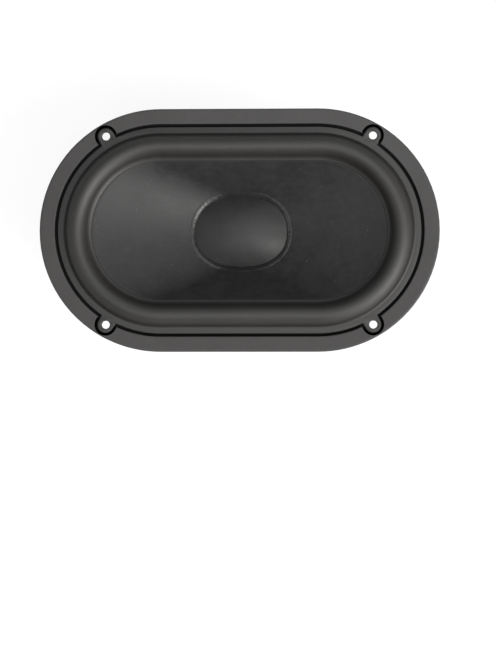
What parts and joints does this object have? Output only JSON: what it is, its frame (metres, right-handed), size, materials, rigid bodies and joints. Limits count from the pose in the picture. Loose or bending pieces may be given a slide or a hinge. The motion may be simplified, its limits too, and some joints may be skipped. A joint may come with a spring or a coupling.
{
  "type": "oval car loudspeaker",
  "caption": "Oval car loudspeaker: flanged plastic basket, rubber surround, cone with dust cap, voice coil, spider, ferrite motor with domed back plate and push-on terminals.",
  "frame": {"origin": "centre of the four mounting holes, on the rear face of the flange", "axes": "+Z out of the speaker's front, the way the cone faces; +X along the long side, towards the terminals; +Y across the short side"},
  "size_m": [0.229, 0.139, 0.0855],
  "materials": {
    "basket_plastic": "matt moulded black, faint texture",
    "ring_plastic": "satin charcoal",
    "surround_rubber": "matt rubber",
    "cone_sheet": "coated, low sheen",
    "cap_sheet": "coated, low sheen",
    "black_glue": "glossy",
    "former_film": "satin film",
    "copper_wire": "enamelled copper",
    "spider_cloth": "resin-stiffened woven cloth",
    "zinc_plate": "bright zinc plated",
    "ferrite": "ground ferrite, satin",
    "zinc_yoke": "blue zinc plated",
    "screw_steel": "zinc plated",
    "board_laminate": "paper laminate",
    "tinned_tab": "tinned",
    "rivet_metal": "tinned",
    "lead_braid": "braided copper tinsel",
    "solder": "bright solder"
  },
  "bodies": {
    "frame": {"basket": "basket_plastic", "trim_ring": "ring_plastic", "surround": "surround_rubber", "spider": "spider_cloth", "glue_fillet": "black_glue", "top_plate": "zinc_plate", "magnet": "ferrite", "pole_yoke": "zinc_yoke", "motor_screws": "screw_steel", "terminal_board": "board_laminate", "terminal_tab_wide": "tinned_tab", "terminal_tab_narrow": "tinned_tab", "board_rivet": "rivet_metal", "tab_rivets": "rivet_metal", "tag_solder": "solder", "lead_wide": "lead_braid", "lead_narrow": "lead_braid"},
    "moving_assembly": {"cone": "cone_sheet", "dust_cap": "cap_sheet", "dust_cap_bead": "black_glue", "coil_former": "former_film", "coil_winding": "copper_wire", "coil_wires": "copper_wire", "coil_solder": "solder"}
  },
  "joints": [
    {"name": "cone_travel", "type": "slide", "parent": "frame", "child": "moving_assembly", "axis": [0, 0, 1], "range_m": [-0.0045, 0.0045], "stiffness_N_per_m": 2800, "deforming": ["surround", "spider", "lead_wide", "lead_narrow"]}
  ]
}
